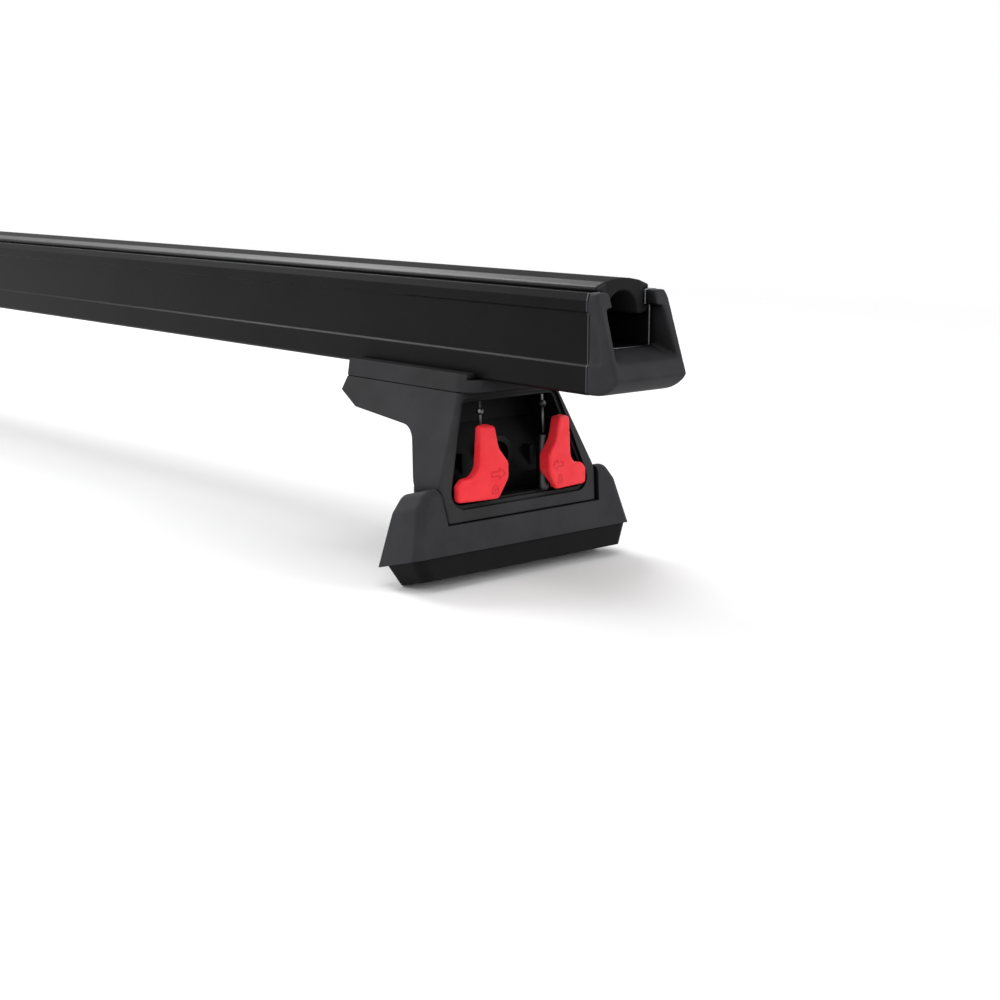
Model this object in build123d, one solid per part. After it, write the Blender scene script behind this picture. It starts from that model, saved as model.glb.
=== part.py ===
from build123d import *
import os
from math import cos, radians, sin, tan

# Roof rack crossbar: an aluminium bar on two quick-release legs.
# Millimetres. X runs along the bar, Z is up, and the origin is on the floor under the bar's middle.

# Crossbar extrusion; heights are from the bar's underside
bar_length = 1340.0
bar_width = 39.0
bar_height = 40.0
bar_underside = 85.0
corner_chamfer = 1.0
side_recess = 0.8
recess_bottom = 12.0
recess_top = 32.0
top_bevel_width = 0.8
top_bevel_height = 3.0
channel_width = 30.0
channel_floor = 17.5
slot_width = 25.0
lip_thickness = 6.0
nut_channel_width = 22.0
nut_channel_height = 7.0
nut_slot_width = 12.5
nut_lip_thickness = 3.0
web_thickness = 2.0
chamber_inset = 2.2
chamber_width = 4.0

# Top rubber strip
crown_half_width = 14.6
crown_side_height = 2.0
crown_shoulder_height = 3.8
crown_shoulder_half_width = 9.7
crown_height = 5.0
strip_leg_thickness = 4.1
strip_leg_depth = 9.5
strip_foot_reach = 2.2
strip_clearance = 0.3

# End caps
cap_top_length = 5.3
cap_nose_length = 17.3
cap_nose_height = 7.0
cap_underside_length = 3.3
cap_lip_height = 12.2
cap_back_wall = 3.0
cap_rim_wall = 1.8
cap_peg_length = 14.0
cap_peg_clearance = 0.15
cap_recess_top_length = 3.0
cap_recess_bottom_length = 8.2
cap_recess_bulge = 1.5

# Leg housing; leg sizes are from the lever axes, outboard positive, and heights from the floor
leg_inset = 66.0
front_lean = 11.0
base_slope = 15.0
front_at_sill = 6.8
sill_height = 33.6
seam_height = 27.2
nest_half_width = 42.4
nest_floor = 24.0
arm_top_half_width = 27.5
shoulder_half_width = 44.6
shoulder_height = 41.0
column_back = 12.5
arm_root_depth = 26.0
arm_root_drop = 15.9
arm_underside_end = 69.0
arm_end_drop = 12.1
arm_tip_depth = 83.0
arm_tip_drop = 6.0
arm_root_radius = 12.0
shoulder_radius = 12.0
front_corner_radius = 2.0
opening_top_half_width = 25.2
opening_sill_half_width = 39.5
lintel_height = 4.0
opening_top_radius = 2.5
opening_sill_radius = 5.0
rebate_width = 1.6
rebate_depth = 1.6
cavity_back_wall = 4.0
floor_block_half_width = 14.0
floor_block_height = 0.8
pocket_depth = 3.1
pocket_back = 7.5
pocket_front = 3.5
pocket_half_width = 35.5
boss_radius = 8.5
boss_height = 49.5
boss_bore_radius = 6.0
boss_bore_depth = 6.0
boss_front = 9.5
rib_offset = 19.5
rib_thickness = 2.0
rib_height = 18.0

# Bar seat
seat_thickness = 5.5
seat_front = 2.0
seat_top_half_width = 26.2
seat_side_clearance = 0.3
seat_tip_inset = 1.0
upstand_height = 2.5
upstand_front = 1.0
tongue_clearance = 0.3
tongue_height = 2.2
slide_clearance = 0.05
seat_corner_radius = 8.0
seat_groove = 0.5

# Base skirt, pad and strike plate
skirt_half_width = 61.6
belt_height = 14.9
belt_front = 11.6
horn_shoulder_inset = 5.6
horn_shoulder_height = 37.0
horn_top_inset = 10.6
horn_top_height = 44.2
skirt_back_at_belt = 14.0
skirt_back_at_horn = 10.5
skirt_wall = 3.5
skirt_front_radius = 4.5
horn_radius = 5.0
nest_clearance = 0.4
seam_gap = 0.5
pad_inset = 1.2
pad_draft_ends = 4.0
pad_draft_sides = 1.6
pad_corner_radius = 5.0
fixing_half_spacing = 34.5
fixing_radius = 3.3
fixing_head_radius = 6.0
fixing_floor = 8.0
fixing_set_back = 13.0
plate_thickness = 2.5
plate_half_length = 27.0
plate_front = 5.6
plate_back = 10.0

# Levers, studs and tethers
lever_half_spacing = 17.7
lever_sole = 35.0
lever_top = 66.6
lever_front = 10.5
lever_back = 4.0
lever_face_turn = 8.0
shaft_inner = 0.6
shaft_outer = 7.0
shaft_foot = 8.6
shaft_start = 22.0
instep_radius = 6.0
toe_height = 10.0
toe_reach = 18.8
toe_bevel = 2.8
toe_radius = 1.4
heel_inner = 1.4
heel_reach = 6.3
heel_low = 8.5
heel_high = 15.5
heel_radius = 3.0
heel_bevel = 4.5
tang_width = 5.0
tang_bite = 3.0
lever_corner_radius = 1.2
lever_edge_radius = 0.8
stud_radius = 2.9
stud_top = 58.0
stud_clearance = 0.05
stud_head_length = 12.0
stud_head_width = 5.6
stud_head_thickness = 4.0
stud_head_gap = 0.2
stud_slot_clearance = 0.3
head_pocket_clearance = 1.0
tether_radius = 0.6
tether_bead_radius = 1.7
tether_bead_share = 0.75
tether_set_back = 1.0
tether_gap = 0.3

# Leg clamp
clamp_depths = (40.0, 62.0)
clamp_shank_radius = 4.0
clamp_hole_clearance = 0.3
clamp_thread_clearance = 0.05
clamp_head_radius = 6.5
clamp_head_height = 4.5
clamp_head_seat = 72.5
clamp_socket_radius = 2.9
clamp_socket_depth = 2.6
washer_radius = 7.2
washer_thickness = 1.5
washer_pocket_clearance = 0.4
nut_length = 16.0
nut_height = 6.0
nut_side_clearance = 0.3

# Derived sizes
half_bar = bar_width / 2
channel_top = bar_height - lip_thickness
nut_channel_top = nut_lip_thickness + nut_channel_height
chamber_centre = half_bar - side_recess - chamber_inset - chamber_width / 2
chamber_top = channel_floor - web_thickness
arm_top = bar_underside - seat_thickness
arm_root_height = arm_top - arm_root_drop
arm_end_height = arm_top - arm_end_drop
arm_tip_height = arm_top - arm_tip_drop
opening_top_height = arm_top - lintel_height
horn_shoulder_half_width = skirt_half_width - horn_shoulder_inset
horn_top_half_width = skirt_half_width - horn_top_inset
plate_underside = nest_floor - plate_thickness
pocket_floor = sill_height - pocket_depth
leg_centre = bar_length / 2 - leg_inset
slope = radians(base_slope)
lean = radians(front_lean)
FAR = 200.0


def outline(points):
    """Closed face from 2D points."""
    return make_face(Polyline(*points, close=True))


def both_sides(points):
    """Half outline and its mirror image about the upright axis, as one ring."""
    return points + [(-u, v) for u, v in reversed(points)]


def rectangle(width, low, high, centre=0.0):
    """Upright rectangle between two heights."""
    return Pos(centre, (low + high) / 2) * Rectangle(width, high - low)


def along_x(face, start, end):
    """Face drawn as (y, z), extruded along X from start to end."""
    return extrude(Plane.YZ.offset(start) * face, end - start)


def along_y(face, half_width):
    """Face drawn as (x, z), extruded both ways along Y."""
    return extrude(Plane.XZ * face, half_width, both=True)


def block(x_range, y_range, z_range):
    """Box between the given limits."""
    limits = (x_range, y_range, z_range)
    size = [high - low for low, high in limits]
    centre = [(high + low) / 2 for low, high in limits]
    return Pos(*centre) * Box(*size)


def post(x, y, low, high, radius):
    """Upright round post."""
    return Pos(x, y, (low + high) / 2) * Cylinder(radius, high - low)


def edges_at(solid, test):
    """Edges of a solid whose middle point passes a test."""
    return [edge for edge in solid.edges() if test(edge @ 0.5)]


def near(value, target):
    return abs(value - target) < 0.01


def front_face(z):
    """X of the leaning front plane of a leg at height z."""
    return front_at_sill - (z - sill_height) * tan(lean)


def column_face(z):
    """X of the leaning inboard face of the column at height z."""
    share = max(z - shoulder_height, 0) / (arm_root_height - shoulder_height)
    return -column_back - share * (arm_root_depth - column_back)


def skirt_face(z):
    """X of the skirt's leaning front plane at height z."""
    return belt_front - (z - belt_height) * tan(lean)


# Bar, strip and caps, drawn with z from the bar's underside

def bar_outline(recess):
    """Outer outline of the bar, with its sides let in by the given depth."""
    side = [
        (half_bar - corner_chamfer, 0),
        (half_bar, corner_chamfer),
        (half_bar, recess_bottom - side_recess),
        (half_bar - recess, recess_bottom),
        (half_bar - recess, recess_top),
        (half_bar, recess_top + side_recess),
        (half_bar, bar_height - top_bevel_height),
        (half_bar - top_bevel_width, bar_height),
    ]
    return outline(both_sides(side))


def crossbar():
    section = bar_outline(side_recess)
    section -= rectangle(channel_width, channel_floor, channel_top)
    section -= rectangle(slot_width, channel_top, bar_height)
    section -= rectangle(nut_channel_width, nut_lip_thickness, nut_channel_top)
    section -= rectangle(nut_slot_width, 0, nut_lip_thickness)
    section -= rectangle(nut_channel_width, nut_channel_top + web_thickness, chamber_top)
    for side in (-1, 1):
        section -= rectangle(chamber_width, nut_lip_thickness, chamber_top, side * chamber_centre)
    return along_x(section, -bar_length / 2, bar_length / 2)


def rubber_strip():
    """Crown over the lips, legs through the slot, feet hooked under the lips."""
    leg_outer = slot_width / 2 - strip_clearance
    leg_inner = leg_outer - strip_leg_thickness
    foot_low = bar_height - strip_leg_depth
    foot_high = channel_top - strip_clearance
    foot_outer = leg_outer + strip_foot_reach
    side = [
        (crown_shoulder_half_width, bar_height + crown_shoulder_height),
        (crown_half_width, bar_height + crown_side_height),
        (crown_half_width, bar_height),
        (leg_outer, bar_height),
        (leg_outer, foot_high),
        (foot_outer, foot_high),
        (foot_outer, foot_low + strip_foot_reach / 2),
        (leg_outer, foot_low),
        (leg_inner, foot_low),
        (leg_inner, bar_height - leg_inner),
    ]
    other = [(-u, v) for u, v in reversed(side)]
    tunnel = ThreePointArc(side[-1], (0, bar_height), other[0])
    dome = ThreePointArc(other[-1], (0, bar_height + crown_height), side[0])
    section = make_face([Polyline(*side), tunnel, Polyline(*other), dome])
    return along_x(section, -bar_length / 2, bar_length / 2)


def end_cap():
    """Raked open moulding for the bar's outboard end, with that end face at x = 0."""
    bottom = Polyline((0, 0), (cap_underside_length, 0))
    nose = TangentArc((cap_underside_length, 0), (cap_nose_length, cap_nose_height), tangent=(1, 0))
    rake = Polyline((cap_nose_length, cap_nose_height), (cap_top_length, bar_height), (0, bar_height), (0, 0))
    cap = along_y(make_face([bottom, nose, rake]), half_bar)
    cap &= along_x(bar_outline(0), 0, cap_nose_length)
    hollow = [
        (cap_back_wall, channel_floor),
        (cap_nose_length, cap_lip_height),
        (FAR, cap_lip_height),
        (FAR, channel_top),
        (cap_back_wall, channel_top),
    ]
    flare_out = half_bar - cap_rim_wall
    flare = [
        (cap_back_wall, channel_width / 2),
        (cap_nose_length, flare_out),
        (cap_nose_length, -flare_out),
        (cap_back_wall, -channel_width / 2),
    ]
    cap -= along_y(outline(hollow), half_bar) & extrude(outline(flare), bar_height)
    cap -= along_x(rectangle(channel_width, channel_floor, channel_top), 0, cap_nose_length)
    cap -= along_x(rectangle(slot_width, channel_top, bar_height), 0, cap_nose_length)
    curve_middle = (cap_recess_top_length + cap_recess_bottom_length) / 2 + cap_recess_bulge
    recess_start = (cap_recess_top_length, recess_top)
    recess_end = (cap_recess_bottom_length, recess_bottom)
    recess = make_face([
        ThreePointArc(recess_start, (curve_middle, (recess_top + recess_bottom) / 2), recess_end),
        Polyline(recess_end, (0, recess_bottom), (0, recess_top), recess_start),
    ])
    cap -= along_y(recess, FAR) - block((0, FAR), (side_recess - half_bar, half_bar - side_recess), (0, FAR))
    peg_height = chamber_top - nut_lip_thickness
    for side in (-1, 1):
        peg = Box(
            cap_peg_length,
            chamber_width - 2 * cap_peg_clearance,
            peg_height - 2 * cap_peg_clearance,
        )
        cap += Pos(-cap_peg_length / 2, side * chamber_centre, nut_lip_thickness + peg_height / 2) * peg
    return cap


# Leg pieces, drawn about the lever axes of the leg at the bar's +X end

def housing():
    """Arm, leaning column and open front, moulded in one."""
    step = front_face(seam_height) - skirt_wall
    profile = [
        (front_face(arm_top), arm_top),
        (front_face(seam_height), seam_height),
        (step, seam_height),
        (step, nest_floor),
        (-column_back, nest_floor),
        (-column_back, shoulder_height),
        (-arm_root_depth, arm_root_height),
        (-arm_underside_end, arm_end_height),
        (-arm_tip_depth, arm_tip_height),
        (seat_tip_inset - arm_tip_depth, arm_top),
    ]
    body = along_y(outline(profile), shoulder_half_width)
    root = edges_at(body, lambda p: near(p.X, -arm_root_depth) and near(p.Z, arm_root_height))
    body = fillet(root, arm_root_radius)
    flanks = lower_flank(0) + [(arm_top_half_width, arm_top)]
    body &= along_x(outline(both_sides(flanks)), -FAR, FAR)
    shoulder = edges_at(body, lambda p: near(abs(p.Y), shoulder_half_width) and near(p.Z, shoulder_height))
    body = fillet([edge for edge in shoulder if abs((edge % 0.5).X) > 0.9], shoulder_radius)
    front = edges_at(body, lambda p: near(p.X, front_face(p.Z)) and abs(p.Y) > arm_top_half_width)
    body = fillet(front, front_corner_radius)
    body -= cavity() + rebate()
    body += cavity_details() & along_y(outline(profile), shoulder_half_width)
    for side in (-1, 1):
        y_range = sorted((side * floor_block_half_width, side * pocket_half_width))
        body -= block((-pocket_back, pocket_front), y_range, (pocket_floor, sill_height + floor_block_height))
        body -= post(0, side * lever_half_spacing, 0, lever_sole, stud_radius + stud_clearance)
    for depth in clamp_depths:
        body -= post(-depth, 0, 0, bar_underside, clamp_shank_radius + clamp_hole_clearance)
        body -= post(-depth, 0, 0, clamp_head_seat, washer_radius + washer_pocket_clearance)
    return body


def lower_flank(clearance):
    """Half outline of the housing's flank from the nest floor up to the shoulder."""
    return [
        (nest_half_width + clearance, nest_floor),
        (shoulder_half_width + clearance, shoulder_height),
    ]


def mouth(grow):
    """Outline of the open front, wider at the sill than at the top, enlarged all round."""
    face = outline(both_sides([
        (opening_sill_half_width + grow, sill_height - grow),
        (opening_top_half_width + grow, opening_top_height + grow),
    ]))
    face = fillet(face.vertices().sort_by(Axis.Y)[:2], opening_sill_radius + grow)
    return fillet(face.vertices().sort_by(Axis.Y)[-2:], opening_top_radius + grow)


def cavity():
    """Hollow behind the open front."""
    back_low = cavity_back_wall - column_back
    back_high = cavity_back_wall - arm_root_depth
    depth = [
        (FAR, sill_height),
        (back_low, sill_height),
        (back_low, shoulder_height),
        (back_high, arm_root_height),
        (back_high, opening_top_height),
        (FAR, opening_top_height),
    ]
    return along_x(mouth(0), -FAR, FAR) & along_y(outline(depth), FAR)


def rebate():
    """Shallow step round the open front."""
    depth = [
        (front_face(0) - rebate_depth, 0),
        (FAR, 0),
        (FAR, bar_underside),
        (front_face(bar_underside) - rebate_depth, bar_underside),
    ]
    return along_x(mouth(rebate_width), -FAR, FAR) & along_y(outline(depth), FAR)


def cavity_details():
    """Raised floor block, round boss and two upright ribs on the cavity's back wall."""
    back = column_face(arm_root_height)
    floor = (pocket_floor, sill_height + floor_block_height)
    details = block((back, pocket_front), (-floor_block_half_width, floor_block_half_width), floor)
    boss_length = -boss_front - back
    boss = Cylinder(boss_radius, boss_length) - Pos(0, 0, boss_length / 2) * Cylinder(
        boss_bore_radius, 2 * boss_bore_depth
    )
    details += Pos(back + boss_length / 2, 0, boss_height) * Rot(0, 90, 0) * boss
    for side in (-1, 1):
        rib_sides = (side * rib_offset - rib_thickness / 2, side * rib_offset + rib_thickness / 2)
        details += block((back, -boss_front), rib_sides, (pocket_floor, sill_height + rib_height))
    return details


def bar_seat():
    """Saddle under the bar, with upstands beside it and a tongue in its nut slot."""
    top = bar_underside - slide_clearance
    upstand_top = bar_underside + upstand_height
    upstand_inner = half_bar + seat_side_clearance
    tongue = nut_slot_width / 2 - tongue_clearance
    section = outline(both_sides([
        (arm_top_half_width, arm_top),
        (seat_top_half_width, upstand_top),
        (upstand_inner, upstand_top),
        (upstand_inner, top),
        (tongue, top),
        (tongue, bar_underside + tongue_height),
    ]))
    seat = along_x(section, seat_tip_inset - arm_tip_depth, seat_front)
    seat -= block((-upstand_front, FAR), (-FAR, FAR), (top, FAR))
    front = edges_at(seat, lambda p: near(p.X, seat_front) and arm_top + 0.1 < p.Z < top - 0.1)
    corners = [edge for edge in front if abs((edge @ 0.5).Y) > half_bar]
    seat = fillet(corners, seat_corner_radius)
    underside = seat.faces().sort_by(Axis.Z)[0]
    seat = chamfer(underside.outer_wire().edges(), seat_groove)
    for depth in clamp_depths:
        seat -= post(-depth, 0, 0, FAR, clamp_shank_radius + clamp_hole_clearance)
    return seat


def base_plane():
    """Plane of the belt: its front edge at the origin, falling inboard."""
    along = (cos(slope), 0, sin(slope))
    square = (-sin(slope), 0, cos(slope))
    return Plane(origin=(belt_front, 0, belt_height), x_dir=along, z_dir=square)


def pad_run():
    """Length of the skirt's underside along the slope."""
    return (belt_front + skirt_back_at_belt) / cos(slope)


def pad_height():
    """Height that brings the pad's inboard edge down to the floor."""
    inboard = pad_run() - pad_inset - pad_draft_sides
    return (belt_height - inboard * sin(slope)) / cos(slope)


def fixing_bores():
    """Two screw holes square to the sloping underside, with room above for the screw heads."""
    bores = Part()
    for side in (-1, 1):
        spot = base_plane() * Pos(-fixing_set_back, side * fixing_half_spacing, 0)
        bores += spot * Cylinder(fixing_radius, FAR)
        bores += spot * Pos(0, 0, fixing_floor + FAR / 2) * Cylinder(fixing_head_radius, FAR)
    return bores


def base_skirt():
    """Shroud with two horns, open above its nest for the housing."""
    front = outline(both_sides([
        (skirt_half_width, belt_height),
        (horn_shoulder_half_width, horn_shoulder_height),
        (horn_top_half_width, horn_top_height),
    ]))
    lead = 3 * skirt_wall
    start = Plane((belt_front + lead, 0, lead * tan(slope)), x_dir=(0, 1, 0), z_dir=(1, 0, 0))
    skirt = extrude(start * front, FAR, dir=(-cos(slope), 0, -sin(slope)))
    skirt &= along_y(outline(skirt_depth()), FAR)
    upper = edges_at(skirt, lambda p: abs(p.Y) > horn_top_half_width - 1 and p.Z > belt_height + 1)
    lengthways = [edge for edge in upper if abs((edge % 0.5).X) > 0.8]
    skirt = fillet(lengthways, horn_radius)
    sides = edges_at(skirt, lambda p: abs(p.Y) > horn_top_half_width - 1)
    front_corners = [edge for edge in sides if near((edge @ 0.5).X, skirt_face((edge @ 0.5).Z))]
    skirt = fillet(front_corners, skirt_front_radius)
    step = front_face(seam_height) - skirt_wall
    flank = lower_flank(nest_clearance)
    flank.append((shoulder_half_width + nest_clearance, FAR))
    nest = along_x(outline(both_sides(flank)), -FAR, FAR)
    skirt -= nest & block((-FAR, step + nest_clearance), (-FAR, FAR), (nest_floor, FAR))
    skirt -= nest & block((-FAR, FAR), (-FAR, FAR), (seam_height - seam_gap, FAR))
    plate_half = plate_half_length + nest_clearance
    recess = (-plate_back - nest_clearance, plate_front + nest_clearance)
    skirt -= block(recess, (-plate_half, plate_half), (plate_underside, nest_floor))
    head_room = stud_head_thickness + 2 * stud_head_gap
    for side in (-1, 1):
        pocket = stud_head_length / 2 + head_pocket_clearance
        skirt -= post(0, side * lever_half_spacing, plate_underside - head_room, nest_floor, pocket)
    return skirt - fixing_bores()


def skirt_depth():
    """Side view of the skirt, taller and deeper than the shroud itself."""
    rate = (skirt_back_at_belt - skirt_back_at_horn) / (horn_top_height - belt_height)
    low = -belt_height
    high = 2 * horn_top_height
    return [
        (skirt_face(low), low),
        (skirt_face(high), high),
        (-skirt_back_at_belt + rate * (high - belt_height), high),
        (-skirt_back_at_belt + rate * (low - belt_height), low),
    ]


def base_pad():
    """Band under the skirt, drawn in towards the floor on all sides."""
    run = pad_run() - 2 * pad_inset
    width = 2 * (skirt_half_width - pad_inset)
    middle = -pad_run() / 2
    top = Pos(middle, 0, 0) * RectangleRounded(run, width, pad_corner_radius)
    foot = Pos(middle, 0, -pad_height()) * RectangleRounded(
        run - 2 * pad_draft_sides, width - 2 * pad_draft_ends, pad_corner_radius
    )
    return base_plane() * loft([top, foot]) - fixing_bores()


def strike_plate():
    """Steel plate in the nest floor, with a slot over each stud head."""
    plate_sides = (-plate_half_length, plate_half_length)
    plate = block((-plate_back, plate_front), plate_sides, (plate_underside, nest_floor))
    slot_length = stud_head_length + 2 * stud_slot_clearance
    slot_width_y = 2 * stud_radius + 2 * stud_slot_clearance
    for side in (-1, 1):
        slot = Box(slot_width_y, slot_length, FAR)
        plate -= Pos(0, side * lever_half_spacing, 0) * slot
    return plate


def lever(side):
    """Boot-shaped red lever: shaft, heel and toe in one plate, moulded over the stud's tang."""
    shape = [
        (shaft_inner, lever_top, lever_corner_radius),
        (shaft_outer, lever_top, lever_corner_radius),
        (shaft_foot, lever_sole + toe_height, instep_radius),
        (toe_reach - toe_bevel, lever_sole + toe_height, toe_radius),
        (toe_reach, lever_sole + toe_height - toe_bevel, toe_radius),
        (toe_reach, lever_sole, toe_radius),
        (-heel_inner, lever_sole, lever_corner_radius),
        (-heel_reach, lever_sole + heel_low, heel_radius),
        (-heel_reach, lever_sole + heel_high, heel_radius),
        (-heel_inner, lever_sole + shaft_start, instep_radius),
    ]
    axis = side * lever_half_spacing
    face = outline([(axis + side * u, v) for u, v, radius in shape])
    for u, v, radius in shape:
        corner = [p for p in face.vertices() if near(p.X, axis + side * u) and near(p.Y, v)]
        face = fillet(corner, radius)
    fall = tan(radians(lever_face_turn))
    plan = outline([
        (lever_back, axis - side * FAR),
        (lever_back, axis + side * (lever_front - lever_back) / fall),
        (lever_front + fall * FAR, axis - side * FAR),
    ])
    body = along_x(face, lever_back, 2 * lever_front) & extrude(plan, FAR)
    rim = edges_at(body, lambda p: near(p.X, lever_front - fall * (side * p.Y - lever_half_spacing)))
    body = fillet(rim, lever_edge_radius)
    bevel = outline([
        (lever_back, lever_sole),
        (lever_back + heel_bevel, lever_sole),
        (lever_back, lever_sole + heel_low),
    ])
    body -= Pos(0, axis - side * heel_reach, 0) * along_y(bevel, heel_reach)
    return body - tang(side)


def tang(side):
    """Flat tang that holds the lever on its stud."""
    axis = side * lever_half_spacing
    sides = (axis - tang_width / 2, axis + tang_width / 2)
    return block((0, lever_back + tang_bite), sides, (lever_sole + heel_low, lever_sole + heel_high))


def stud(side):
    """Steel stud behind the lever, with a hammer head under the strike plate."""
    axis = side * lever_half_spacing
    head_top = plate_underside - stud_head_gap
    shank = post(0, axis, head_top, stud_top, stud_radius)
    head = Box(stud_head_length, stud_head_width, stud_head_thickness)
    return shank + tang(side) + Pos(0, axis, head_top - stud_head_thickness / 2) * head


def tether(side):
    """Taut wire from the cavity's ceiling to the stud's top, with a crimped bead."""
    axis = side * lever_half_spacing
    top = Vector(-tether_set_back, axis, opening_top_height)
    end = Vector(0, axis, stud_top + tether_gap + tether_radius)
    line = Line(top, end)
    wire = sweep(Plane(line @ 0, z_dir=line % 0) * Circle(tether_radius), path=line)
    bead = Pos(*(end + (top - end) * tether_bead_share)) * Sphere(tether_bead_radius)
    return wire + bead + Pos(*end) * Sphere(tether_radius)


def clamp_screw(depth):
    """Low-head socket screw, up through arm and seat into the channel nut."""
    head_top = clamp_head_seat - washer_thickness
    tip = bar_underside + nut_lip_thickness + slide_clearance + nut_height
    screw = post(-depth, 0, head_top - clamp_head_height, head_top, clamp_head_radius)
    screw += post(-depth, 0, head_top, tip, clamp_shank_radius)
    key = extrude(RegularPolygon(clamp_socket_radius, 6), clamp_socket_depth)
    return screw - Pos(-depth, 0, head_top - clamp_head_height) * key


def clamp_washer(depth):
    ring = post(-depth, 0, clamp_head_seat - washer_thickness, clamp_head_seat, washer_radius)
    return ring - post(-depth, 0, 0, FAR, clamp_shank_radius + clamp_hole_clearance)


def channel_nut(depth):
    """Slab nut that bears on the lips of the bar's nut channel."""
    low = bar_underside + nut_lip_thickness + slide_clearance
    width = nut_channel_width - 2 * nut_side_clearance
    length_range = (-depth - nut_length / 2, -depth + nut_length / 2)
    nut = block(length_range, (-width / 2, width / 2), (low, low + nut_height))
    return nut - post(-depth, 0, 0, FAR, clamp_shank_radius + clamp_thread_clearance)


def group(solids):
    return Compound(children=[solid for piece in solids for solid in piece.solids()])


def leg_pieces():
    """The pieces of one leg, by name; levers and studs come with the side they stand on."""
    sides = (-1, 1)
    fixed = {
        "housing": housing(),
        "bar_seat": bar_seat(),
        "base_skirt": base_skirt(),
        "base_pad": base_pad(),
        "strike_plate": strike_plate(),
        "tether_wires": group([tether(side) for side in sides]),
        "clamp_screws": group([clamp_screw(depth) for depth in clamp_depths]),
        "clamp_washers": group([clamp_washer(depth) for depth in clamp_depths]),
        "channel_nuts": group([channel_nut(depth) for depth in clamp_depths]),
    }
    turning = {"lever": [lever(side) for side in sides], "stud": [stud(side) for side in sides]}
    return fixed, turning


def export(name, shape):
    export_step(shape, os.path.join("parts", name + ".step"))


def main():
    os.makedirs("parts", exist_ok=True)
    raised = Pos(0, 0, bar_underside)
    export("crossbar", raised * crossbar())
    export("rubber_strip", raised * rubber_strip())
    right_cap = raised * Pos(bar_length / 2, 0, 0) * end_cap()
    export("right_end_cap", right_cap)
    export("left_end_cap", Rot(0, 0, 180) * right_cap)
    fixed, turning = leg_pieces()
    for leg, turn in (("right", 0), ("left", 180)):
        place = Rot(0, 0, turn) * Pos(leg_centre, 0, 0)
        for name, shape in fixed.items():
            export(leg + "_" + name, place * shape)
        wheres = ("front", "rear") if leg == "right" else ("rear", "front")
        for name, pair in turning.items():
            for where, shape in zip(wheres, pair):
                export(leg + "_" + where + "_" + name, place * shape)


main()
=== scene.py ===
# %% [markdown]
# # A roof rack crossbar, dressed for a photograph
# The solid model already holds every size and joint of the bar, so this lesson adds what the eye
# reads next: coated metal, grained plastic, rubber, and the small signs on the red levers. The
# model is loaded as a fixed frame in metres. Nothing here moves it, and modifiers only soften a few
# of its corners.

# %% Load the frame
from math import cos, pi, radians, sin, tan

import bpy
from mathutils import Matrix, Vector


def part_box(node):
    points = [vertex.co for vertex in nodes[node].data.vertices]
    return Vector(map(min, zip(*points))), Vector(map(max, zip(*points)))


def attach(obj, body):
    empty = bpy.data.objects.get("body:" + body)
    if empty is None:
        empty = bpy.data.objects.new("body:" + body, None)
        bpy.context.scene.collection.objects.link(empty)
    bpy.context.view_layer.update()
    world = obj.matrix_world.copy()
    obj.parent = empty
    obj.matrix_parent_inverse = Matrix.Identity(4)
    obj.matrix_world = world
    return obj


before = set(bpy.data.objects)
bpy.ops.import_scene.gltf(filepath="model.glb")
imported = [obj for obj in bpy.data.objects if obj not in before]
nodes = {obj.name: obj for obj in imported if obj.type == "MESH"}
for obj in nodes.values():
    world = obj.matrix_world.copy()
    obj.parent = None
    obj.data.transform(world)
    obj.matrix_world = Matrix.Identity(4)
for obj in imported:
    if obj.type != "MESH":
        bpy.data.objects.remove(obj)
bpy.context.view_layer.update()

MM = 0.001

# %% [markdown]
# ## The viewpoint
# The photograph looks along the bar from beyond its end. A camera is set from four facts: where it
# stands, how far it is turned from the bar, how far it looks down, and its lens. Turning it by its
# viewing direction keeps the horizon level.

# %% Camera
camera_place = Vector((1155.8, -482.5, 177.0)) * MM
turn_from_bar = radians(40.746)
look_down = radians(11.2726)
direction = Vector((
    -cos(turn_from_bar) * cos(look_down),
    sin(turn_from_bar) * cos(look_down),
    -sin(look_down),
))
camera_data = bpy.data.cameras.new("photo_camera")
camera_data.sensor_width = 36.0
camera_data.lens = 62.14
camera_data.clip_start = 0.01
camera = bpy.data.objects.new("photo_camera", camera_data)
bpy.context.collection.objects.link(camera)
camera.location = camera_place
camera.rotation_euler = direction.to_track_quat("-Z", "Y").to_euler()
bpy.context.scene.camera = camera
print("camera lens", camera_data.lens, "mm at", [round(v, 3) for v in camera.location])

# %% [markdown]
# ## Colours and shader nodes
# Designers write colours as sRGB hex values, while the renderer works in linear light, so one function
# converts them. Shader nodes are added by one small helper as well: it makes the node, sets its
# values, and links its inputs, so that each material below reads as a short recipe.

# %% Helpers for materials
def linear(hex_colour):
    """sRGB hex colour as linear RGBA."""
    values = [int(hex_colour[i:i + 2], 16) / 255 for i in (1, 3, 5)]
    return [v / 12.92 if v <= 0.04045 else ((v + 0.055) / 1.055) ** 2.4 for v in values] + [1.0]


def add(tree, kind, settings=None, **inputs):
    """A node with its settings; an input is a value, or the output socket that feeds it."""
    node = tree.nodes.new(kind)
    for name, value in (settings or {}).items():
        setattr(node, name, value)
    for name, value in inputs.items():
        socket = node.inputs[name.replace("_", " ")]
        if isinstance(value, bpy.types.NodeSocket):
            tree.links.new(value, socket)
        else:
            socket.default_value = value
    return node


def new_material(name):
    """An empty node material and its shader."""
    material = bpy.data.materials.new(name)
    material.use_nodes = True
    return material, material.node_tree, material.node_tree.nodes["Principled BSDF"]


def per_metre(size_mm):
    """Texture scale that gives features of this size."""
    return 1000.0 / size_mm


print("white is", linear("#FFFFFF"))

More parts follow.
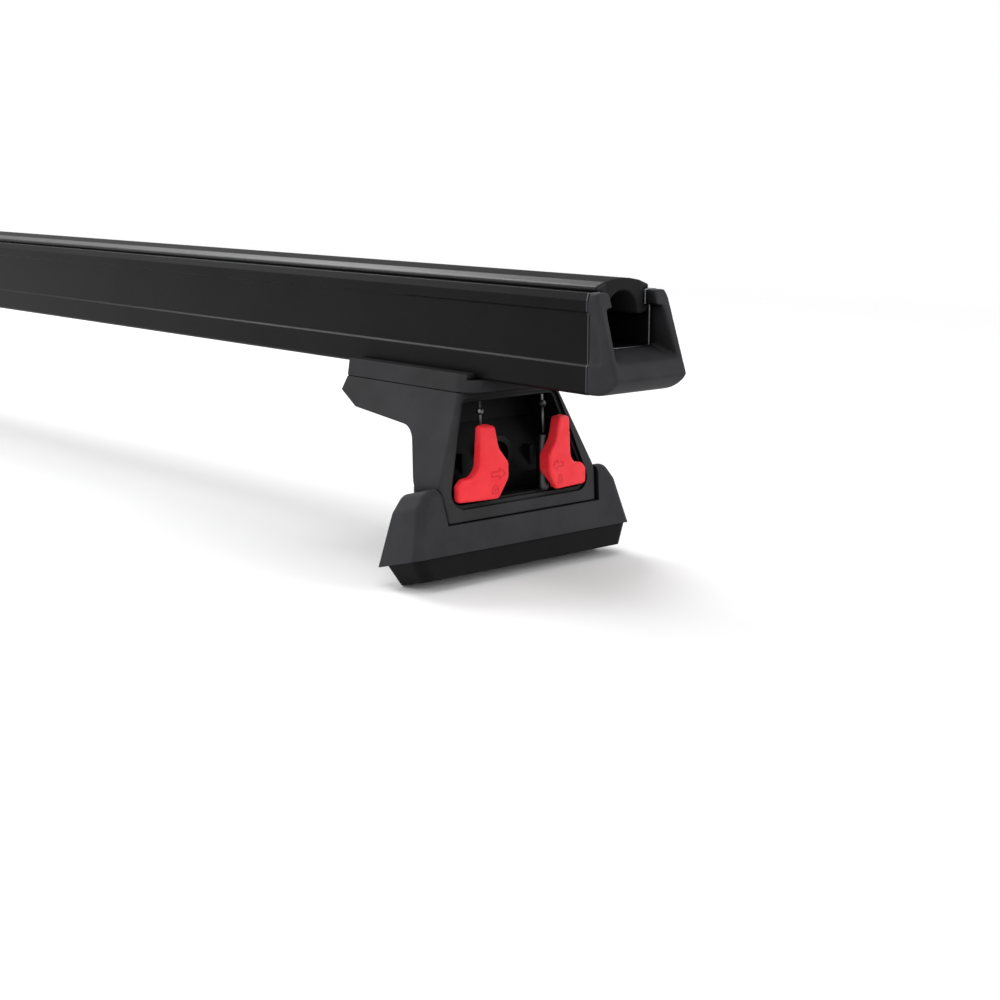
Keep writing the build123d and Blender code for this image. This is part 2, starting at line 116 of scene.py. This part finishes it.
# %% [markdown]
# ## A wander between two shades
# Hardly any surface has one colour all over: handling, dust and the way it was made leave lighter and
# darker places. A noise texture drives a ramp between two close shades, and its size comes from a real
# size in millimetres. The same noise also varies the roughness in most of the materials below.

# %% Shades from noise
def mottle(tree, place, dark, light, size_mm, low=0.35, high=0.65):
    """Colour that wanders between two shades over patches of the given size, and its pattern."""
    noise = add(
        tree, "ShaderNodeTexNoise", Vector=place, Scale=per_metre(size_mm), Detail=5.0, Roughness=0.6,
    )
    ramp = add(tree, "ShaderNodeValToRGB", Fac=noise.outputs["Fac"])
    ramp.color_ramp.elements[0].position = low
    ramp.color_ramp.elements[0].color = linear(dark)
    ramp.color_ramp.elements[1].position = high
    ramp.color_ramp.elements[1].color = linear(light)
    return ramp.outputs["Color"], noise.outputs["Fac"]


print("patches of 30 mm need a noise scale of", round(per_metre(30.0), 1))

# %% [markdown]
# ## Moulded nylon
# The legs, bar seats, skirts and end caps are taken as glass-filled nylon, moulded in a spark-eroded
# tool. That gives the eye a dry, fine grain that breaks up highlights, and small round edges that catch
# a little light. The true grain is about 0.3 mm; it is drawn at 0.6 to 0.8 mm so that it shows in the
# picture. Deep corners get a painted shade: an ambient occlusion node finds them and mixes a near-black
# colour into the plastic there, whatever the light.

# %% Moulded nylon
# The node looks this many millimetres around a point, and gives 0 for shut in and 1 for open.
CORNER_REACH = 45.0
DEEP, OPEN = 0.35, 0.75


def moulded_nylon(name, dark, light, grain_mm=0.7):
    """Grained black plastic with painted shade in its deep corners."""
    material, tree, shader = new_material(name)
    place = add(tree, "ShaderNodeTexCoord").outputs["Object"]
    colour, patches = mottle(tree, place, dark, light, size_mm=30.0)
    grain = add(tree, "ShaderNodeTexNoise", Vector=place, Scale=per_metre(grain_mm), Detail=2.0)
    rounded = add(tree, "ShaderNodeBevel", {"samples": 4}, Radius=0.5 * MM)
    bump = add(
        tree, "ShaderNodeBump", Height=grain.outputs["Fac"], Strength=0.1, Distance=0.4 * MM,
        Normal=rounded.outputs["Normal"],
    )
    dullness = add(tree, "ShaderNodeMapRange", Value=patches, To_Min=0.5, To_Max=0.64)
    # Painted shade: the occlusion drives a mix towards near-black colour in deep corners.
    corners = add(tree, "ShaderNodeAmbientOcclusion", {"samples": 6}, Distance=CORNER_REACH * MM)
    light_reach = add(
        tree, "ShaderNodeMapRange", Value=corners.outputs["AO"], From_Min=DEEP, From_Max=OPEN,
    )
    painted_corner_shade = add(tree, "ShaderNodeMix", {"data_type": "RGBA"}, Factor=light_reach.outputs["Result"])
    painted_corner_shade.inputs[6].default_value = linear("#050505")
    tree.links.new(colour, painted_corner_shade.inputs[7])
    tree.links.new(painted_corner_shade.outputs[2], shader.inputs["Base Color"])
    tree.links.new(dullness.outputs["Result"], shader.inputs["Roughness"])
    tree.links.new(bump.outputs["Normal"], shader.inputs["Normal"])
    shader.inputs["IOR"].default_value = 1.53
    shader.inputs["Specular IOR Level"].default_value = 0.06
    return material


leg_nylon = moulded_nylon("moulded_nylon_leg", "#29292A", "#323234")
seat_nylon = moulded_nylon("moulded_nylon_seat", "#29292A", "#323234", grain_mm=0.8)
skirt_nylon = moulded_nylon("moulded_nylon_skirt", "#2A2A2C", "#333335")
cap_nylon = moulded_nylon("moulded_nylon_end_cap", "#262628", "#303032", grain_mm=0.6)
print("nylon:", leg_nylon.name, seat_nylon.name, skirt_nylon.name, cap_nylon.name)

# %% [markdown]
# ## Powder-coated aluminium
# The bar is extruded, then coated with matt black powder that melts into a thin skin. Two things show:
# faint lines along the bar from the die, and a soft orange-peel ripple a few millimetres across. The
# lines come from noise that is stretched along the bar; they are drawn coarser than the real ones so
# that they show. The bar is sawn to length after coating, so a hairline of bare metal shows at each
# end. Round the channel that metal is painted paler, as a painted highlight. The distance along the bar
# finds the hairline, and the distance across the bar tells the channel from the outside.

# %% Powder-coated aluminium
# Sizes in millimetres; half_bar is in metres, as the frame is.
DIE_LINE, RIPPLE = 1.5, 2.5
HAIRLINE, HAIRLINE_BLUR = 0.45, 0.1
CHANNEL_EDGE = 16.0
half_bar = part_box("crossbar")[1][0]


def powder_coat(name, dark, light):
    """Matt black coat, die lines and ripple; bare sawn ends, with a painted highlight at the channel."""
    material, tree, shader = new_material(name)
    place = add(tree, "ShaderNodeTexCoord").outputs["Object"]
    colour, patches = mottle(tree, place, dark, light, size_mm=60.0)
    stretched = add(tree, "ShaderNodeMapping", Vector=place, Scale=(0.01, 1.0, 1.0))
    lines = add(
        tree, "ShaderNodeTexNoise", Vector=stretched.outputs["Vector"], Scale=per_metre(DIE_LINE),
        Detail=3.0,
    )
    ripple = add(tree, "ShaderNodeTexNoise", Vector=place, Scale=per_metre(RIPPLE), Detail=2.0)
    rounded = add(tree, "ShaderNodeBevel", {"samples": 4}, Radius=0.6 * MM)
    die = add(
        tree, "ShaderNodeBump", Height=lines.outputs["Fac"], Strength=0.04, Distance=0.3 * MM,
        Normal=rounded.outputs["Normal"],
    )
    peel = add(
        tree, "ShaderNodeBump", Height=ripple.outputs["Fac"], Strength=0.05, Distance=0.4 * MM,
        Normal=die.outputs["Normal"],
    )
    where = add(tree, "ShaderNodeSeparateXYZ", Vector=place).outputs
    along = add(tree, "ShaderNodeMath", {"operation": "ABSOLUTE"}, Value=where["X"])
    sawn = add(
        tree, "ShaderNodeMapRange", Value=along.outputs["Value"],
        From_Min=half_bar - HAIRLINE * MM, From_Max=half_bar - (HAIRLINE - HAIRLINE_BLUR) * MM,
    ).outputs["Result"]
    across = add(tree, "ShaderNodeMath", {"operation": "ABSOLUTE"}, Value=where["Y"])
    outside = add(tree, "ShaderNodeMath", {"operation": "GREATER_THAN"}, Value=across.outputs["Value"])
    outside.inputs[1].default_value = CHANNEL_EDGE * MM
    # Painted highlight: bare metal round the channel gets a paler grey than the bare metal outside it.
    bare_metal_with_painted_highlight = add(tree, "ShaderNodeMix", {"data_type": "RGBA"}, Factor=outside.outputs["Value"])
    bare_metal_with_painted_highlight.inputs[6].default_value = linear("#85868A")
    bare_metal_with_painted_highlight.inputs[7].default_value = linear("#4C4D4F")
    shades = add(tree, "ShaderNodeMix", {"data_type": "RGBA"}, Factor=sawn)
    tree.links.new(colour, shades.inputs[6])
    tree.links.new(bare_metal_with_painted_highlight.outputs[2], shades.inputs[7])
    dullness = add(tree, "ShaderNodeMapRange", Value=patches, To_Min=0.26, To_Max=0.36)
    tree.links.new(shades.outputs[2], shader.inputs["Base Color"])
    tree.links.new(sawn, shader.inputs["Metallic"])
    tree.links.new(dullness.outputs["Result"], shader.inputs["Roughness"])
    tree.links.new(peel.outputs["Normal"], shader.inputs["Normal"])
    shader.inputs["IOR"].default_value = 1.5
    shader.inputs["Specular IOR Level"].default_value = 0.05
    return material


bar_coat = powder_coat("powder_coated_aluminium", "#0B0B0C", "#111112")
print("bar:", bar_coat.name, "with bare metal from", round(half_bar / MM - HAIRLINE, 2), "mm")

# %% [markdown]
# ## Rubber
# The strip on top is extruded rubber. Its crown is dull with grey bloom, while the die leaves the two
# shoulders smoother, so they catch a line of light. How far a point lies from the strip's middle tells
# the shoulders from the crown. The pads under the legs are moulded, darker and even. Both kinds start
# from the same bloom and fine relief, which is drawn about a millimetre wide so that it shows.

# %% Rubber
def rubber_base(name, dark, light, line_mm, squeeze):
    """Rubber with a little bloom and fine relief, as a start for both kinds."""
    material, tree, shader = new_material(name)
    place = add(tree, "ShaderNodeTexCoord").outputs["Object"]
    colour, patches = mottle(tree, place, dark, light, size_mm=22.0, low=0.3, high=0.75)
    stretched = add(tree, "ShaderNodeMapping", Vector=place, Scale=squeeze)
    lines = add(
        tree, "ShaderNodeTexNoise", Vector=stretched.outputs["Vector"], Scale=per_metre(line_mm),
        Detail=2.0,
    )
    rounded = add(tree, "ShaderNodeBevel", {"samples": 4}, Radius=0.6 * MM)
    bump = add(
        tree, "ShaderNodeBump", Height=lines.outputs["Fac"], Strength=0.12, Distance=0.4 * MM,
        Normal=rounded.outputs["Normal"],
    )
    tree.links.new(colour, shader.inputs["Base Color"])
    tree.links.new(bump.outputs["Normal"], shader.inputs["Normal"])
    shader.inputs["IOR"].default_value = 1.52
    return material, tree, shader, place, patches


pad_rubber, tree, shader, _, patches = rubber_base(
    "moulded_rubber_pad", "#0C0C0D", "#131314", line_mm=0.9, squeeze=(1.0, 1.0, 1.0),
)
dullness = add(tree, "ShaderNodeMapRange", Value=patches, To_Min=0.5, To_Max=0.68)
tree.links.new(dullness.outputs["Result"], shader.inputs["Roughness"])
shader.inputs["Specular IOR Level"].default_value = 0.06
print("rubber:", pad_rubber.name)

# %% Rubber strip
CROWN_HALF_WIDTH, SHOULDER_BLUR = 9.7, 0.5
strip_rubber, tree, shader, place, _ = rubber_base(
    "extruded_rubber_strip", "#171718", "#222223", line_mm=1.2, squeeze=(0.01, 1.0, 1.0),
)
across = add(tree, "ShaderNodeSeparateXYZ", Vector=place).outputs["Y"]
from_middle = add(tree, "ShaderNodeMath", {"operation": "ABSOLUTE"}, Value=across)
shoulder = add(
    tree, "ShaderNodeMapRange", Value=from_middle.outputs["Value"],
    From_Min=(CROWN_HALF_WIDTH - SHOULDER_BLUR) * MM, From_Max=(CROWN_HALF_WIDTH + SHOULDER_BLUR) * MM,
)
dullness = add(
    tree, "ShaderNodeMapRange", Value=shoulder.outputs["Result"], To_Min=0.8, To_Max=0.34,
)
tree.links.new(dullness.outputs["Result"], shader.inputs["Roughness"])
shader.inputs["Specular IOR Level"].default_value = 0.07
print("rubber:", strip_rubber.name, "with shoulders from", CROWN_HALF_WIDTH, "mm")

# %% [markdown]
# ## Red acetal
# The levers are moulded in self-coloured red plastic so that they stand out. It is smoother than the
# legs, with a satin gloss, a faint flow pattern, and a fine grain that is drawn at 0.8 mm so that it
# shows. Light soaks a little way into it, which keeps its shaded sides warm. The signs stand proud in
# the same plastic.

# %% Red acetal
def red_acetal(name, dark, light):
    """Satin red plastic that lets a little light in."""
    material, tree, shader = new_material(name)
    place = add(tree, "ShaderNodeTexCoord").outputs["Object"]
    colour, patches = mottle(tree, place, dark, light, size_mm=14.0)
    grain = add(tree, "ShaderNodeTexNoise", Vector=place, Scale=per_metre(0.8), Detail=2.0)
    rounded = add(tree, "ShaderNodeBevel", {"samples": 4}, Radius=0.6 * MM)
    bump = add(
        tree, "ShaderNodeBump", Height=grain.outputs["Fac"], Strength=0.05, Distance=0.3 * MM,
        Normal=rounded.outputs["Normal"],
    )
    dullness = add(tree, "ShaderNodeMapRange", Value=patches, To_Min=0.36, To_Max=0.5)
    tree.links.new(colour, shader.inputs["Base Color"])
    tree.links.new(dullness.outputs["Result"], shader.inputs["Roughness"])
    tree.links.new(bump.outputs["Normal"], shader.inputs["Normal"])
    shader.inputs["Subsurface Weight"].default_value = 0.3
    shader.inputs["Subsurface Radius"].default_value = (1.0, 0.12, 0.1)
    shader.inputs["Subsurface Scale"].default_value = 3.0 * MM
    shader.inputs["IOR"].default_value = 1.48
    shader.inputs["Specular IOR Level"].default_value = 0.18
    return material


lever_red = red_acetal("moulded_red_acetal", "#DC2833", "#E5383F")
print("levers:", lever_red.name)

# %% [markdown]
# ## Steel
# Four small steel finishes belong to the legs: zinc-plated plates and nuts, blackened studs, stainless
# washers and black-oxide screws. Each is a metal with its own grey and roughness, and fine scratches from
# noise that is stretched one way. Real scratches are finer; they are drawn 0.5 mm wide so that they show.

# %% Steel
SCRATCH = 0.5
ROUGHNESS_SPREAD = 0.07


def steel(name, dark, light, rough):
    """Scratched metal of one grey."""
    material, tree, shader = new_material(name)
    place = add(tree, "ShaderNodeTexCoord").outputs["Object"]
    colour, patches = mottle(tree, place, dark, light, size_mm=6.0)
    stretched = add(tree, "ShaderNodeMapping", Vector=place, Scale=(0.15, 1.0, 1.0))
    scratches = add(
        tree, "ShaderNodeTexNoise", Vector=stretched.outputs["Vector"], Scale=per_metre(SCRATCH),
        Detail=2.0,
    )
    bump = add(
        tree, "ShaderNodeBump", Height=scratches.outputs["Fac"], Strength=0.08, Distance=0.2 * MM,
    )
    dullness = add(
        tree, "ShaderNodeMapRange", Value=patches,
        To_Min=rough - ROUGHNESS_SPREAD, To_Max=rough + ROUGHNESS_SPREAD,
    )
    tree.links.new(colour, shader.inputs["Base Color"])
    tree.links.new(dullness.outputs["Result"], shader.inputs["Roughness"])
    tree.links.new(bump.outputs["Normal"], shader.inputs["Normal"])
    shader.inputs["Metallic"].default_value = 1.0
    return material


zinc_steel = steel("zinc_plated_steel", "#A9A9A2", "#C2C2BA", rough=0.38)
stud_steel = steel("blackened_steel_stud", "#3A3A3B", "#4A4A4B", rough=0.36)
washer_steel = steel("stainless_steel_washer", "#B4B4B0", "#CACAC6", rough=0.3)
screw_steel = steel("black_oxide_steel", "#1E1E1F", "#2A2A2B", rough=0.42)
print("steel:", zinc_steel.name, stud_steel.name, washer_steel.name, screw_steel.name)

# %% [markdown]
# ## Stranded wire
# Each lever's tether is a thin rope of twisted steel strands. A wave texture that is turned aslant draws
# the twist as bands of painted shade and painted highlight across the wire, and as a bump too. They lie
# 7.54 mm apart, about one full turn of a strand; the real strands lie closer together, and the coarser
# bands are what shows.

# %% Stranded wire
# At a scale of 1, the wave texture draws this many bands to a metre.
BANDS_AT_ONE = 20.0 / (2.0 * pi)
STRAND_TURN = 7.54


def stranded_wire(name):
    """Dark twisted strands, with painted shade and highlight in bands along the twist."""
    material, tree, shader = new_material(name)
    place = add(tree, "ShaderNodeTexCoord").outputs["Object"]
    slant = add(tree, "ShaderNodeMapping", Vector=place, Rotation=(radians(35), radians(20), 0))
    twist = add(
        tree, "ShaderNodeTexWave", {"bands_direction": "Z"},
        Vector=slant.outputs["Vector"], Scale=per_metre(STRAND_TURN) / BANDS_AT_ONE, Distortion=0.4,
    ).outputs["Fac"]
    # Painted shade and highlight: the ramp turns the twist into darker and lighter bands of colour.
    ramp = add(tree, "ShaderNodeValToRGB", Fac=twist)
    ramp.color_ramp.elements[0].color = linear("#2C2C2E")
    ramp.color_ramp.elements[1].color = linear("#5E5E60")
    bump = add(tree, "ShaderNodeBump", Height=twist, Strength=0.5, Distance=0.2 * MM)
    dullness = add(tree, "ShaderNodeMapRange", Value=twist, To_Min=0.5, To_Max=0.35)
    tree.links.new(ramp.outputs["Color"], shader.inputs["Base Color"])
    tree.links.new(dullness.outputs["Result"], shader.inputs["Roughness"])
    tree.links.new(bump.outputs["Normal"], shader.inputs["Normal"])
    shader.inputs["Metallic"].default_value = 1.0
    return material


wire_steel = stranded_wire("stranded_steel_wire")
print("wire:", wire_steel.name, "with a band every", STRAND_TURN, "mm")

# %% [markdown]
# ## Dressing the solids
# The solids keep their places and only trade their plain slots for the materials above. A short table
# of name endings does it, because every leg piece has the same ending on both legs.

# %% Dress the solids
finish_by_ending = {
    "crossbar": bar_coat,
    "rubber_strip": strip_rubber,
    "end_cap": cap_nylon,
    "housing": leg_nylon,
    "bar_seat": seat_nylon,
    "base_skirt": skirt_nylon,
    "base_pad": pad_rubber,
    "strike_plate": zinc_steel,
    "channel_nuts": zinc_steel,
    "tether_wires": wire_steel,
    "clamp_screws": screw_steel,
    "clamp_washers": washer_steel,
    "lever": lever_red,
    "stud": stud_steel,
}
for name, piece in nodes.items():
    ending = next(key for key in finish_by_ending if name.endswith(key))
    piece.data.materials.clear()
    piece.data.materials.append(finish_by_ending[ending])
print("dressed", len(nodes), "solids")

# %% [markdown]
# ## Softer levers and caps
# On the real levers every corner is well rounded, so that they are kind to the hand, and the end caps have
# soft rims. The solids have flat faces and small radii. A remesh modifier lays an even grid of small faces
# over each, and a smooth modifier then relaxes the corners while the flat faces stay where they are. A
# bevel modifier would need clean edge loops, which these solids' triangles don't have.

# %% Softer levers and caps
# Each ending has the grid's size in millimetres and the number of rounds of smoothing.
softness_by_ending = {"lever": (0.45, 24), "end_cap": (0.5, 28)}


def soften(piece, grid_mm, rounds):
    """Even out a solid's mesh and relax its corners, by modifiers alone."""
    remesh = piece.modifiers.new("even_grid", "REMESH")
    remesh.mode = "VOXEL"
    remesh.voxel_size = grid_mm * MM
    remesh.use_smooth_shade = True
    relax = piece.modifiers.new("relaxed_corners", "SMOOTH")
    relax.factor = 0.5
    relax.iterations = rounds


for ending, (grid_mm, rounds) in softness_by_ending.items():
    pieces = [piece for name, piece in nodes.items() if name.endswith(ending)]
    for piece in pieces:
        soften(piece, grid_mm, rounds)
    print("softened", len(pieces), "pieces that end in", ending)

# %% [markdown]
# ## Rounded strip edges
# Extruded rubber has no sharp corners, because the die rounds them by about a millimetre. The strip's
# section is the same all along, so here a bevel modifier does suit. A weld modifier first joins the
# corner points that each face keeps to itself, and the bevel then rounds every edge that turns sharply.

# %% Rounded strip edges
strip = nodes["rubber_strip"]
weld = strip.modifiers.new("joined_corners", "WELD")
weld.merge_threshold = 0.001 * MM
rounding = strip.modifiers.new("rounded_edges", "BEVEL")
rounding.width = 0.9 * MM
rounding.segments = 3
rounding.limit_method = "ANGLE"
rounding.angle_limit = radians(24)
print("strip edges rounded by", round(rounding.width / MM, 2), "mm")

# %% [markdown]
# ## Shapes of the signs
# Each lever carries an arrow that points to the side it opens, and a padlock under it, moulded as fine
# ridges, and a small ring on its top. They are drawn flat first, as lines of points in millimetres. The
# first number says how far the point lies sideways from the lever's axis, and the second how high above
# the floor. The ring is drawn round its own middle.

# %% Sign shapes
def arc(centre, radius, start, end, steps=12):
    """Points along an arc, angles in degrees."""
    angles = [radians(start + (end - start) * i / steps) for i in range(steps + 1)]
    return [(centre[0] + radius * cos(a), centre[1] + radius * sin(a)) for a in angles]


arrow = [
    (2.6, 46.9), (-1.2, 46.9), (-1.2, 48.3), (-4.2, 45.9), (-1.2, 43.5), (-1.2, 44.9), (2.6, 44.9),
]
lock_body = [(-0.6, 37.6), (2.2, 37.6), (2.2, 39.9), (-0.6, 39.9)]
shackle = arc((0.8, 40.4), radius=0.85, start=0, end=180)
keyhole = arc((0.8, 38.8), radius=0.35, start=0, end=360)
ring = arc((0.0, 0.0), radius=1.7, start=0, end=360)
print("sign lines have", [len(line) for line in (arrow, lock_body, shackle, keyhole, ring)], "points")

# %% [markdown]
# ## Signs on the levers
# A ridge is easiest as a curve with a thin round bevel that is half sunk in the surface. The lever's face
# leans back towards its toe, so the points are laid on that slope. Each set of signs rides on its lever's
# body, so that it turns with the lever.

# %% Ridges from lines
RIDGE = 0.22


def sign_curve(name, lines):
    """Ridges along closed or open lines of points in metres."""
    curve = bpy.data.curves.new(name, "CURVE")
    curve.dimensions = "3D"
    curve.bevel_depth = RIDGE * MM
    curve.bevel_resolution = 2
    for points, closed in lines:
        spline = curve.splines.new("POLY")
        spline.points.add(len(points) - 1)
        for point, place in zip(spline.points, points):
            point.co = (*place, 1.0)
        spline.use_cyclic_u = closed
    piece = bpy.data.objects.new(name, curve)
    bpy.context.collection.objects.link(piece)
    curve.materials.append(lever_red)
    return piece


print("ridges stand", RIDGE, "mm proud")

# %% Signs on the levers
LEG_CENTRE, LEVER_SPACING = 604.0, 17.7
LEVER_FRONT, LEVER_TOP, FACE_TURN = 10.5, 66.6, radians(8.0)
RING_OUT, RING_ACROSS = 7.0, 3.8


def on_lever_face(points, leg, side):
    """Sign points, measured from the lever's axis, laid on its sloping face."""
    return [
        (
            leg * (LEG_CENTRE + LEVER_FRONT - tan(FACE_TURN) * u) * MM,
            leg * side * (LEVER_SPACING + u) * MM,
            v * MM,
        )
        for u, v in points
    ]


def on_lever_top(points, leg, side):
    """Ring points on the lever's top."""
    return [
        (
            leg * (LEG_CENTRE + RING_OUT + a) * MM,
            leg * side * (LEVER_SPACING + RING_ACROSS + b) * MM,
            LEVER_TOP * MM,
        )
        for a, b in points
    ]


for leg_name, leg in (("right", 1), ("left", -1)):
    for side in (-1, 1):
        lever_name = leg_name + ("_front_lever" if leg * side < 0 else "_rear_lever")
        lines = [
            (on_lever_face(arrow, leg, side), True),
            (on_lever_face(lock_body, leg, side), True),
            (on_lever_face(shackle, leg, side), False),
            (on_lever_face(keyhole, leg, side), True),
            (on_lever_top(ring, leg, side), True),
        ]
        signs = sign_curve(lever_name + "_signs", lines)
        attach(signs, lever_name + "_body")
        print(signs.name, "has", len(signs.data.splines), "ridges")

# %% [markdown]
# ## Floor
# The object stands on a pale paper floor. The floor keeps the shadow near the object and fades to clear
# further out, so that it has no visible edge: a round gradient mixes the paper with a clear shader.

# %% Floor
FLOOR_REACH = 12.0
floor_mesh = bpy.data.meshes.new("floor")
floor_mesh.from_pydata(
    [(x * FLOOR_REACH, y * FLOOR_REACH, 0) for x, y in ((-1, -1), (1, -1), (1, 1), (-1, 1))],
    [], [(0, 1, 2, 3)],
)
floor = bpy.data.objects.new("floor", floor_mesh)
bpy.context.collection.objects.link(floor)
paper, tree, shader = new_material("pale_paper_floor")
place = add(tree, "ShaderNodeTexCoord").outputs["Object"]
colour, _ = mottle(tree, place, "#F4F4F4", "#F8F8F8", size_mm=900.0)
tree.links.new(colour, shader.inputs["Base Color"])
shader.inputs["Roughness"].default_value = 0.9
shader.inputs["Specular IOR Level"].default_value = 0.1
oval = add(tree, "ShaderNodeMapping", Vector=place, Scale=(0.5, 0.7, 1.0))
nearness = add(
    tree, "ShaderNodeTexGradient", {"gradient_type": "SPHERICAL"}, Vector=oval.outputs["Vector"],
)
fade = add(
    tree, "ShaderNodeMapRange", {"interpolation_type": "SMOOTHSTEP"},
    Value=nearness.outputs["Fac"], From_Max=0.6,
)
clear = add(tree, "ShaderNodeBsdfTransparent")
blend = add(tree, "ShaderNodeMixShader", Fac=fade.outputs["Result"])
tree.links.new(clear.outputs["BSDF"], blend.inputs[1])
tree.links.new(shader.outputs["BSDF"], blend.inputs[2])
tree.links.new(blend.outputs["Shader"], tree.nodes["Material Output"].inputs["Surface"])
floor_mesh.materials.append(paper)
print("floor", 2 * FLOOR_REACH, "m wide")

# %% [markdown]
# ## White background
# The world lights everything softly at a plain level. It shows as full white only to the camera and in
# reflections, which the light path tells, so the white costs no extra light on the object.

# %% World
PLAIN_LEVEL = 0.38
world = bpy.data.worlds.new("white_studio")
world.use_nodes = True
bpy.context.scene.world = world
tree = world.node_tree
rays = add(tree, "ShaderNodeLightPath").outputs
mirrored = add(tree, "ShaderNodeMath", {"operation": "MAXIMUM"})
tree.links.new(rays["Is Glossy Ray"], mirrored.inputs[0])
tree.links.new(rays["Is Transmission Ray"], mirrored.inputs[1])
seen = add(tree, "ShaderNodeMath", {"operation": "MAXIMUM"})
tree.links.new(rays["Is Camera Ray"], seen.inputs[0])
tree.links.new(mirrored.outputs["Value"], seen.inputs[1])
level = add(
    tree, "ShaderNodeMapRange", Value=seen.outputs["Value"], To_Min=PLAIN_LEVEL, To_Max=1.0,
)
background = tree.nodes["Background"]
background.inputs["Color"].default_value = linear("#FFFFFF")
tree.links.new(level.outputs["Result"], background.inputs["Strength"])
print("world lights the object at", PLAIN_LEVEL)

# %% [markdown]
# ## Lamps
# Five soft lamps stand round the object: a key above, a fill on each side of the leg's open front, and
# two beyond the far end. Their reflections run along the bar, the higher one on the strip's shoulder
# and the recess edge, and the lower one on the bar's upper band.

# %% Lamps
def soft_lamp(name, place, target, size, power):
    """A rectangular lamp that faces its target; size in metres, power in watts."""
    data = bpy.data.lights.new(name, "AREA")
    data.shape = "RECTANGLE"
    data.size, data.size_y = size
    data.energy = power
    lamp = bpy.data.objects.new(name, data)
    bpy.context.collection.objects.link(lamp)
    lamp.location = place
    lamp.rotation_euler = (Vector(target) - Vector(place)).to_track_quat("-Z", "Y").to_euler()


leg_place = (0.604, 0.0, 0.08)
soft_lamp("key_above", (0.9, -0.4, 2.1), leg_place, size=(1.6, 1.4), power=12.0)
soft_lamp("fill_left", (1.35, -1.3, 0.65), leg_place, size=(1.2, 1.0), power=9.0)
soft_lamp("side_right", (2.2, 1.0, 0.7), leg_place, size=(1.2, 0.9), power=20.0)
soft_lamp("window_along_bar", (-1.05, 0.15, 1.45), leg_place, size=(1.4, 0.8), power=30.0)
soft_lamp("low_along_bar", (-1.0, -1.35, 0.6), leg_place, size=(1.2, 0.5), power=6.5)
bpy.context.scene.view_settings.view_transform = "Standard"
